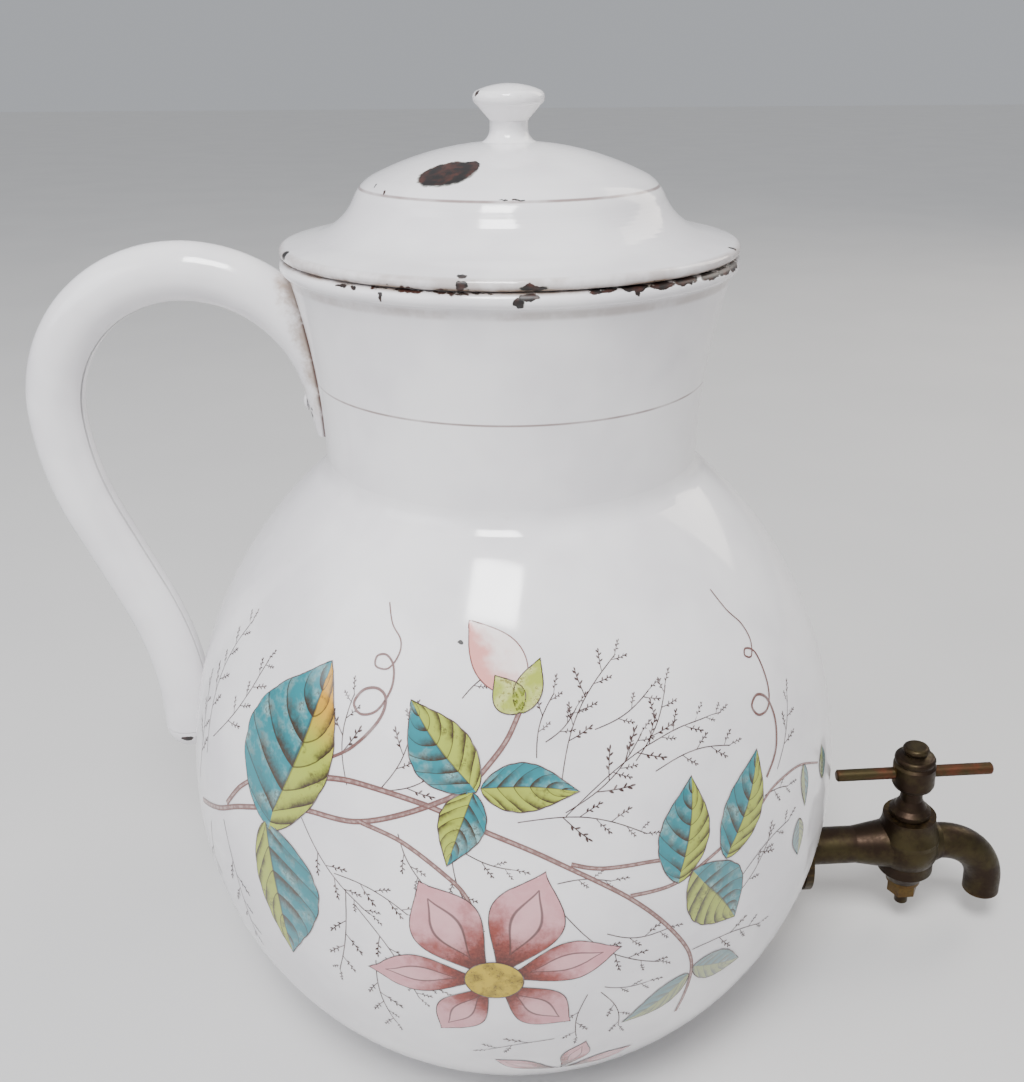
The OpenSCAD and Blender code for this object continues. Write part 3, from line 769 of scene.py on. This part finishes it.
def stroke(name, points, width, taper=1.0, steps=10):
    """A ribbon on the belly through points of azimuth and elevation. Taper is its end's share of the width."""

    def at(t):
        t = min(max(t, 0.0), 1.0) * (len(points) - 1)
        i = min(int(t), len(points) - 2)
        f = t - i
        p = [Vector(points[min(max(k, 0), len(points) - 1)]) for k in (i - 1, i, i + 1, i + 2)]
        return 0.5 * (
            2 * p[1] + (p[2] - p[0]) * f + (2 * p[0] - 5 * p[1] + 4 * p[2] - p[3]) * f * f
            + (3 * p[1] - p[0] - 3 * p[2] + p[3]) * f**3
        )

    piece = sheet(name, steps * (len(points) - 1), 1)
    for vertex in piece.data.vertices:
        t, s = vertex.co.x + 0.5, vertex.co.y
        point, normal = on_belly(*at(t))
        ahead = on_belly(*at(t + 0.004))[0] - on_belly(*at(t - 0.004))[0]
        side = normal.cross(ahead).normalized()
        vertex.co = point + side * s * width * (1 + (taper - 1) * t)
    return piece


def mark_faces(piece, name, value):
    """Stores one number over the whole piece, which its material reads."""
    layer = piece.data.attributes.new(name, "FLOAT", "POINT")
    layer.data.foreach_set("value", [value] * len(layer.data))


# Leaves of the spray: azimuth and elevation of the stalk's end, turn, length, half-widths to the right and
# left of the midrib, which side is teal (1 is left), how far the tip turns gold, how faded, sweep and heart
LEAVES = (
    (-39.5, 16, 79, 56, 13, 25, 1, 1.0, 0.0, -0.05, 0.12),
    (-41, 14, -79, 50, 9, 19, 1, 0.0, 0.1, 0.03, 0.0),
    (-6.5, 27.5, 129, 30, 9, 10, 1, 0.0, 0.0, 0.04, 0.1),
    (-5, 27, -1, 29, 7.5, 7, 1, 0.0, 0.0, 0.04, 0.0),
    (-6, 26.5, 252, 24, 7, 7, 1, 0.0, 0.0, 0.0, 0.0),
    (24.5, 11.5, 77, 30, 7.5, 10.5, 1, 0.0, 0.0, -0.04, 0.12),
    (33.5, 12, 58, 32, 7.5, 9.5, 1, 0.0, 0.0, -0.05, 0.1),
    (28.5, 8.5, -55, 23, 11, 11, 1, 0.0, 0.2, 0.03, 0.3),
    (27, -8, 217, 27, 5.5, 5, 0, 0.0, 0.9, 0.05, 0.0),
    (28, -7, -24, 23, 6, 6, 1, 0.0, 0.9, 0.0, 0.05),
    (54, 16.5, -97, 15, 2.8, 3, 1, 0.0, 0.8, 0.0, 0.0),
    (62, 10.5, 78, 10, 4, 4, 0, 0.0, 0.7, 0.0, 0.2),
    (51, 8, -92, 13, 4.5, 3.5, 0, 0.0, 0.8, 0.0, 0.1),
)
# Azimuth and elevation of the open flower's middle
FLOWER = (-3, -2.5)
# Petals round it: turn, length, half-width and sweep to the left
PETALS = (
    (124, 41, 12.5, 0.03), (68, 42, 12.5, -0.02), (13, 41, 8, 0.03), (184, 41, 8, -0.03), (236, 32, 8.5, 0.0),
    (318, 32, 9.5, 0.0),
)
# Stems as azimuth and elevation, with the width in millimetres at the start and at the end
STEMS = (
    (((-64, 5), (-55, 9), (-47, 13.5), (-34.5, 18.5), (-23, 20), (-10.5, 25), (-6.5, 27.5), (-3.5, 30.5),
      (-1, 33.5), (1, 37)), 1.9, 1.5),
    (((-52, 11.5), (-48.5, 16), (-45, 19)), 1.8, 1.5),
    (((-34, 23.5), (-25.5, 25.2), (-14, 24.3), (-5, 21.5), (5, 17.2), (16, 10), (23.5, 1.7), (27.3, -6.5),
      (26.8, -18)), 1.9, 1.2),
    (((-23.5, 20), (-16.5, 18.5), (-10, 14.7), (-6.5, 11), (-4.8, 4.5)), 1.5, 1.3),
    (((8, 16.2), (12.5, 15), (21.5, 14.3), (25, 12.5)), 1.4, 1.2),
    (((16.5, 10), (23.2, 10), (29, 11.8), (33.5, 13.5)), 1.4, 1.0),
    (((26, 9.6), (28.5, 8.6), (30, 7)), 1.0, 0.8),
    (((40, 15.5), (44, 17.3), (49.5, 17.5), (54, 16.5), (60, 13.5)), 1.0, 0.7),
)
# Tendrils as azimuth and elevation, from the stem to the curled tip
TENDRILS = (
    ((-31.5, 26.5), (-26.3, 29.6), (-22.3, 34), (-21.6, 37), (-23.4, 38.2), (-26, 37.6), (-27.3, 35.6),
     (-25.6, 34.4), (-22.8, 35.4), (-21, 38.6), (-21.4, 41.4), (-23.2, 42.7), (-25, 42.3), (-24.8, 41),
     (-22.4, 41), (-20.9, 43), (-21.2, 45), (-23.6, 46.8), (-25.6, 49.5)),
    ((43, 19.5), (46.6, 22.5), (48.2, 26.5), (47.6, 30), (45.3, 31.4), (43.3, 30.4), (44.3, 28.7),
     (47, 28.7), (48.8, 31), (49.2, 34.5), (48.6, 37), (46.6, 38), (45.8, 37.2), (47.4, 36.6), (48.9, 38.6),
     (48.4, 41.3), (46.2, 44), (44.6, 47.5)),
)
# Sprigs: azimuth and elevation of the root, turn and length in millimetres
SPRIGS = (
    (-62, 15, 84, 54), (-60, 19, 62, 44), (-66, 8, 96, 36), (-26, 24.5, 96, 27), (-20.5, 25, 72, 24),
    (-20, 25, 30, 20), (-8.5, 38.5, 42, 13), (-33.5, 17.5, -42, 36), (-27, 11, -16, 26), (-25, 9, -98, 34),
    (-23.5, 7, -58, 38), (-20.5, -2, -84, 30), (-19, -1, -30, 18), (-53, 8, -76, 46), (-59, 4, -84, 36),
    (7, 27, 62, 42), (13, 34, 26, 20), (3.5, 31, 72, 19), (5, 33, 44, 13), (7.5, 23.5, 40, 32),
    (7.5, 23, 24, 62), (22, 27, 2, 28), (19, 29, 56, 24), (0.5, 22.5, -9, 40), (42, 17, -12, 13),
    (46, 19.5, 52, 24), (36, 6.5, 18, 26), (34, 3, 40, 22), (27, -3, -12, 32), (7, 8.5, -38, 40),
    (13, 4.5, -10, 20), (6, 13.5, -4, 16), (10.5, -6.5, -96, 22), (12.5, -6.5, -70, 22), (13, -5.5, -10, 14),
    (6, -17, 200, 22), (-9, 18, -70, 22), (-7, 18, -18, 14), (-17, 19.5, -60, 16),
)


class JUG_OT_enamel_body(bpy.types.Operator):
    """Gives the jug's sheet-iron parts and its handle their enamel, the neck's line and the rim's wear"""

    bl_idname = "jug.enamel_body"
    bl_label = "Enamel the jug"

    def execute(self, context):
        look = context.scene.jug_enamel
        rim_chips = (
            ((-47.2, -56.3, 281.7), (2.4, 2.0, 0.5)),
            ((-43.4, -59.2, 281.8), (1.0, 1.2, 0.9)),
            ((-35.5, -64.7, 280.4), (0.45, 0.9, 1.6)),
            ((2.4, -73.7, 280.1), (1.6, 1.6, 1.2)),
            ((5.2, -73.4, 281.5), (2.6, 1.6, 1.2)),
            ((25.5, -68.3, 282.3), (5.0, 3.0, 0.6)),
            ((34.2, -64.6, 282.2), (5.0, 4.0, 0.8)),
            ((34.6, -65.0, 281.2), (0.9, 1.5, 1.3)),
            ((42.2, -59.8, 282.0), (5.0, 4.0, 0.9)),
            ((49.7, -53.8, 281.9), (5.0, 5.0, 1.0)),
            ((58.1, -44.6, 281.8), (5.0, 6.0, 1.1)),
            ((63.5, -37.0, 281.8), (4.0, 5.0, 1.2)),
            ((67.5, -28.6, 281.6), (3.0, 6.0, 1.2)),
            ((-0.5, -68, 226), (0.35, 0.6, 0.35)),
        )
        neck = enamel(
            "white_enamel_neck",
            rings=(("height", look.neck_line_z),),
            chips=rim_chips,
            worn=((72.6, 282.6, 3.0, 0.36),),
            # The first ring is grime on top of the rim bead; the second, a soft brown line just under the bead,
            # is a painted shadow
            grime_and_shadow=((72.6, 283.2, 1.9, 0.9), (71.2, 276.0, 2.0, 0.4)),
        )
        dress(["neck_shell"], neck)
        belly = enamel("white_enamel_belly", chips=(((-15, -88, 186), (0.9, 0.9, 0.5)),))
        dress(["belly_shell", "base_plate", "tap_boss"], belly)
        handle_chips = (
            ((-68, -7, 231), (1.0, 2, 1.6)),
            ((-69, -4, 228), (1.2, 2, 2.2)),
            ((-125, -9, 101.5), (2.2, 2, 1.1)),
            ((-134, -9, 250), (0.6, 2, 1.2)),
        )
        dress(
            ["handle_tube", "handle_end_cap", "handle_rivet"],
            enamel("white_enamel_handle", chips=handle_chips, stain=neck_joint_stain),
        )
        dress(["rim_wire"], drawn_steel("rim_steel"))
        return {"FINISHED"}


class JUG_OT_enamel_lid(bpy.types.Operator):
    """Gives the lid its enamel, its line, the large chip on the dome and the worn rolled edge"""

    bl_idname = "jug.enamel_lid"
    bl_label = "Enamel the lid"

    def execute(self, context):
        look = context.scene.jug_enamel
        chips = (
            ((-18.0, -31.0, 309), (8.6, 7.6, 7)),
            ((-11.8, -29.5, 310.4), (3.4, 4.2, 4)),
            ((-40.1, -20.9, 304.8), (0.5, 1.4, 1.0)),
            ((-36.8, -28.5, 303.6), (0.8, 0.8, 0.6)),
            ((-12.6, -69.9, 286.6), (1.3, 1.4, 1.0)),
            ((-12.8, -72.9, 284.6), (1.5, 1.6, 1.2)),
            ((6.5, -73.6, 283.8), (3.8, 2.0, 1.0)),
            ((-67.8, -27.4, 285.8), (1.3, 2.6, 1.6)),
            ((67.4, -25.5, 286.3), (1.8, 1.2, 0.8)),
            ((1, -46.9, 303.3), (3.6, 0.5, 0.3)),
        )
        material = enamel(
            "white_enamel_lid",
            rings=(("radius", look.lid_line_r),),
            chips=chips,
            worn=((73.2, 283.2, 2.6, 0.3),),
            grime_and_shadow=((72.6, 282.8, 1.9, 0.9), (73.4, 285.0, 2.6, 0.45)),
        )
        dress(["lid_shell"], material)
        knob = enamel(
            "white_enamel_knob", chips=(((-9.4, -4, 329.5), (1.2, 1.8, 0.6)),), worn=((10.6, 328.5, 2.4, 0.3),)
        )
        dress(["lid_collar", "lid_knob"], knob)
        dress(["lid_rim_wire", "knob_rivet"], drawn_steel("lid_steel"))
        return {"FINISHED"}


class JUG_OT_finish_tap(bpy.types.Operator):
    """Gives the tap its old brass, and its washers their leather and rubber"""

    bl_idname = "jug.finish_tap"
    bl_label = "Finish the tap"

    def execute(self, context):
        look = context.scene.tap_finish
        dress(["tap_body", "tap_backnut"], old_brass("old_brass_body", bright=0.3))
        dress(["tap_plug"], old_brass("old_brass_plug", bright=0.4))
        dress(["tap_bar"], old_brass("old_brass_bar", bright=0.2, base=look.bar))
        dress(["plug_washer", "plug_nut"], old_brass("old_brass_nut", bright=0.3, base=srgb("#33231b")))
        dress(["tap_outer_washer"], washer_leather("washer_leather"))
        dress(["tap_inner_washer"], washer_rubber("washer_rubber"))
        return {"FINISHED"}


class JUG_OT_print_leaves(bpy.types.Operator):
    """Lays the printed leaves on the belly"""

    bl_idname = "jug.print_leaves"
    bl_label = "Print the leaves"

    def execute(self, context):
        look = context.scene.jug_print
        materials = (printed_leaf(), printed_ink("leaf_ink", look.ink))
        pieces = []
        for azimuth, elevation, turn, length, near, far, teal_left, gold, faded, bend, heart in LEAVES:
            if not teal_left:
                near, far, bend = far, near, -bend
            piece = blade(
                "leaf", materials, length * MM, near * MM, far * MM, bend, heart, outline=look.outline
            )
            mark_faces(piece, "turning", gold)
            mark_faces(piece, "faded", faded)
            pieces.append(lay(piece, azimuth, elevation, turn, mirror=not teal_left))
        press(join(pieces, "print_leaves"), INK_LIFT * 2.2)
        return {"FINISHED"}


class JUG_OT_print_flower(bpy.types.Operator):
    """Lays the open flower, the half flower under it and the bud on the belly"""

    bl_idname = "jug.print_flower"
    bl_label = "Print the flower and the bud"

    def execute(self, context):
        look = context.scene.jug_print
        materials = (printed_petal(), printed_ink("petal_ink", look.ink))
        shape = {"scallop": 0.0, "round_off": 1.45, "fullness": 1.05, "outline": look.outline}
        petals = [
            lay(blade("petal", materials, length * MM, half * MM, half * MM, bend, **shape), *FLOWER, turn)
            for turn, length, half, bend in PETALS
        ]
        petals += [
            lay(blade("petal", materials, 26 * MM, 5 * MM, 5 * MM, **shape), 8, -31, turn)
            for turn in (20, 75, 150)
        ]
        press(join(petals, "print_petals"), INK_LIFT * 1.8)

        bpy.ops.object.select_all(action="DESELECT")
        bpy.ops.mesh.primitive_circle_add(vertices=48, radius=9 * MM, fill_type="TRIFAN")
        eye = context.object
        eye.name = "print_flower_eye"
        eye.data.materials.append(
            printed_wash("pollen_transfer", look.pollen, srgb("#8f7a22"), srgb("#54401a"), 210)
        )
        eye.data.materials.append(printed_ink("eye_ink", look.ink))
        eye.data.transform(Matrix.Diagonal((1, 0.82, 1, 1)))
        lay(outlined(eye, look.outline), *FLOWER, 0)
        only(eye)
        bpy.ops.object.mode_set(mode="EDIT")
        bpy.ops.mesh.select_all(action="SELECT")
        bpy.ops.mesh.subdivide(number_cuts=3)
        bpy.ops.object.mode_set(mode="OBJECT")
        press(eye, INK_LIFT * 2.6)

        materials = (printed_bud(), printed_ink("bud_ink", srgb("#7a4c48")))
        bud = blade(
            "print_bud", materials, 27 * MM, 8 * MM, 7.5 * MM,
            scallop=0.0, round_off=0.9, fullness=0.7, outline=look.outline,
        )
        press(lay(bud, 1.5, 39, 124), INK_LIFT * 1.8)

        materials = (
            printed_wash("sepal_transfer", look.green, srgb("#c3c87c"), srgb("#7a7434"), 160),
            printed_ink("sepal_ink", look.ink),
        )
        shape = {"scallop": 0.0, "outline": look.outline}
        sepals = [
            lay(blade("sepal", materials, length * MM, half * MM, half * MM, **shape), 1, 36.8, turn)
            for turn, length, half in ((68, 17, 4.2), (122, 13, 5))
        ]
        press(join(sepals, "print_sepals"), INK_LIFT * 2.4)
        return {"FINISHED"}


class JUG_OT_print_stems(bpy.types.Operator):
    """Draws the stems and the two curled tendrils on the belly"""

    bl_idname = "jug.print_stems"
    bl_label = "Print the stems"

    def execute(self, context):
        look = context.scene.jug_print
        stems = join(
            [stroke("stem", points, start * MM, end / start) for points, start, end in STEMS], "print_stems"
        )
        stems.data.materials.append(printed_stem())
        press(stems, INK_LIFT * 1.3)
        tendrils = join(
            [stroke("tendril", points, 1.0 * MM, 0.4, steps=6) for points in TENDRILS], "print_tendrils"
        )
        tendrils.data.materials.append(printed_ink("tendril_ink", look.stem))
        press(tendrils, INK_LIFT * 1.5)
        return {"FINISHED"}


class JUG_OT_print_sprigs(bpy.types.Operator):
    """Lays the fine fern-like sprigs on the belly"""

    bl_idname = "jug.print_sprigs"
    bl_label = "Print the sprigs"

    def twig(self, length, line):
        """One side twig along +X: a fine line with small paired buds."""
        stem = sheet("twig", 6, 1)
        for vertex in stem.data.vertices:
            u, s = vertex.co.x + 0.5, vertex.co.y
            vertex.co = (length * u, 0.1 * length * math.sin(1.6 * u) + s * line, 0)
        parts = [stem]
        for i, (u, turn) in enumerate(((0.35, 40), (0.5, -45), (0.65, 38), (0.8, -42), (0.92, 35), (1.0, 0))):
            bpy.ops.object.select_all(action="DESELECT")
            bpy.ops.mesh.primitive_circle_add(vertices=6, radius=0.85 * MM, fill_type="NGON")
            bud = bpy.context.object
            bud.data.transform(
                Matrix.Translation((length * u, 0.1 * length * math.sin(1.6 * u), 0))
                @ Matrix.Rotation(math.radians(turn), 4, "Z")
                @ Matrix.Translation((0.8 * MM, 0, 0))
                @ Matrix.Diagonal((1, 0.36 if i % 2 else 0.44, 1, 1))
            )
            parts.append(bud)
        return join(parts, "twig")

    def execute(self, context):
        look = context.scene.jug_print
        rng = random.Random(SEED)
        line = 0.32 * MM
        twig = self.twig(9 * MM, line)
        pieces = []
        for azimuth, elevation, turn, length in SPRIGS:
            length *= MM
            bow = rng.choice((-1, 1)) * rng.uniform(0.05, 0.1)
            stem = sheet("sprig", 14, 1)
            for vertex in stem.data.vertices:
                u, s = vertex.co.x + 0.5, vertex.co.y
                vertex.co = (length * u, bow * length * math.sin(math.pi * u) + s * line, 0)
            parts = [stem]
            count = max(3, round(length / (6.4 * MM)))
            for i in range(count):
                u = 0.25 + 0.75 * (i + 0.5) / count
                reach = (1.25 - 0.7 * u) * rng.uniform(0.55, 1.15) * min(1.0, length / (26 * MM))
                part = copied(twig)
                side = 1 if i % 2 else -1
                part.data.transform(
                    Matrix.Translation((length * u, bow * length * math.sin(math.pi * u), 0))
                    @ Matrix.Rotation(math.radians(side * rng.uniform(24, 42)), 4, "Z")
                    @ Matrix.Diagonal((max(0.4, reach), side * max(0.5, reach**0.5), 1, 1))
                )
                parts.append(part)
            tip = copied(twig)
            tip.data.transform(Matrix.Translation((length * 0.97, 0, 0)) @ Matrix.Scale(0.6, 4))
            parts.append(tip)
            pieces.append(lay(join(parts, "sprig"), azimuth, elevation, turn))
        bpy.data.objects.remove(twig)
        sprigs = join(pieces, "print_sprigs")
        sprigs.data.materials.append(printed_ink("sprig_ink", look.ink))
        press(sprigs, INK_LIFT)
        # Mirrored twigs face inwards, and all of them must face out
        only(sprigs)
        for face in sprigs.data.polygons:
            face.select = face.normal.dot(face.center - BELLY_CENTRE) < 0
        bpy.ops.object.mode_set(mode="EDIT")
        bpy.ops.mesh.flip_normals()
        bpy.ops.object.mode_set(mode="OBJECT")
        return {"FINISHED"}


class JUG_OT_set_stage(bpy.types.Operator):
    """Sets the floor, the soft lights and the camera"""

    bl_idname = "jug.set_stage"
    bl_label = "Set the stage"

    def light(self, name, sides, power, place, target, tint="#ffffff"):
        """A rectangular soft light that looks at the target."""
        bpy.ops.object.light_add(type="AREA", location=place)
        lamp = bpy.context.object
        lamp.name = name
        lamp.data.shape = "RECTANGLE"
        lamp.data.size, lamp.data.size_y = sides
        lamp.data.energy = power
        lamp.data.color = srgb(tint)[:3]
        lamp.rotation_euler = (Vector(target) - Vector(place)).to_track_quat("-Z", "Y").to_euler()
        return lamp

    def execute(self, context):
        look = context.scene.jug_stage
        form = bpy.data.objects.get("belly_form")
        if form is not None:
            bpy.data.objects.remove(form)
        bpy.ops.object.select_all(action="DESELECT")
        bpy.ops.mesh.primitive_plane_add(size=16)
        floor = context.object
        floor.name = "floor"
        material, tree = new_material("floor_cloth")
        place = node(tree, "TexCoord", out=3)
        soft = node(tree, "TexNoise", {"Vector": place, "Scale": 6, "Detail": 2})
        skin = node(tree, "Mix", {
            0: node(tree, "MapRange", {0: soft, 1: 0.3, 2: 0.7, 3: 0.0, 4: 0.3}, **SMOOTH), 6: look.floor,
            7: srgb("#c9c8c8"),
        }, **BLEND)
        node(tree, "OutputMaterial", {
            "Surface": node(tree, "BsdfPrincipled", {"Base Color": skin, "Roughness": 0.9})
        })
        floor.data.materials.append(material)

        world = bpy.data.worlds.new("studio")
        world.use_nodes = True
        background = world.node_tree.nodes["Background"]
        background.inputs["Color"].default_value = srgb("#b9bcc1")
        background.inputs["Strength"].default_value = 0.9
        context.scene.world = world

        middle = (0, 0, 0.17)
        self.light("key", (0.42, 0.42), look.key, (-0.14, -0.72, 1.32), middle)
        self.light("fill", (1.4, 1.0), look.fill, (-1.5, -0.9, 1.1), middle, "#f4f6ff")
        self.light("rim", (0.8, 1.2), look.fill, (1.3, 0.9, 1.2), middle, "#fff6ea")

        bpy.ops.object.light_add(type="SUN", rotation=(math.radians(35), math.radians(-15), 0))
        sky = context.object
        sky.name = "sky"
        sky.data.energy = 0.73
        sky.data.angle = math.radians(120)

        bpy.ops.object.camera_add(location=(0, -0.365, 0.340))
        camera = context.object
        camera.name = "camera"
        camera.data.lens = 36.6
        camera.data.sensor_width = 36
        camera.data.clip_start = 0.01
        tilt, roll = math.radians(66.2), math.radians(-0.44)
        turn = Matrix.Rotation(tilt, 4, "X") @ Matrix.Rotation(roll, 4, "Z")
        camera.rotation_euler = turn.to_euler()
        context.scene.camera = camera
        return {"FINISHED"}


GROUPS = {"jug_enamel": JugEnamel, "jug_print": JugPrint, "tap_finish": TapFinish, "jug_stage": JugStage}
OPERATORS = (
    JUG_OT_enamel_body,
    JUG_OT_enamel_lid,
    JUG_OT_finish_tap,
    JUG_OT_print_stems,
    JUG_OT_print_sprigs,
    JUG_OT_print_leaves,
    JUG_OT_print_flower,
    JUG_OT_set_stage,
)


class JUG_PT_panel(bpy.types.Panel):
    """Lists the jug's colours, sizes and steps"""

    bl_idname = "JUG_PT_panel"
    bl_label = "Water Jug"
    bl_space_type = "VIEW_3D"
    bl_region_type = "UI"
    bl_category = "Water Jug"

    def draw(self, context):
        for group, kind in GROUPS.items():
            box = self.layout.box()
            for name in kind.__annotations__:
                box.prop(getattr(context.scene, group), name)
        for operator in OPERATORS:
            self.layout.operator(operator.bl_idname)


def register():
    for kind in (*GROUPS.values(), *OPERATORS, JUG_PT_panel):
        bpy.utils.register_class(kind)
    for name, kind in GROUPS.items():
        setattr(bpy.types.Scene, name, bpy.props.PointerProperty(type=kind))


def unregister():
    for name in GROUPS:
        delattr(bpy.types.Scene, name)
    for kind in reversed((*GROUPS.values(), *OPERATORS, JUG_PT_panel)):
        bpy.utils.unregister_class(kind)


def main():
    register()
    bpy.ops.jug.enamel_body()
    bpy.ops.jug.enamel_lid()
    bpy.ops.jug.finish_tap()
    bpy.ops.jug.print_stems()
    bpy.ops.jug.print_sprigs()
    bpy.ops.jug.print_leaves()
    bpy.ops.jug.print_flower()
    bpy.ops.jug.set_stage()


if __name__ == "__main__":
    main()
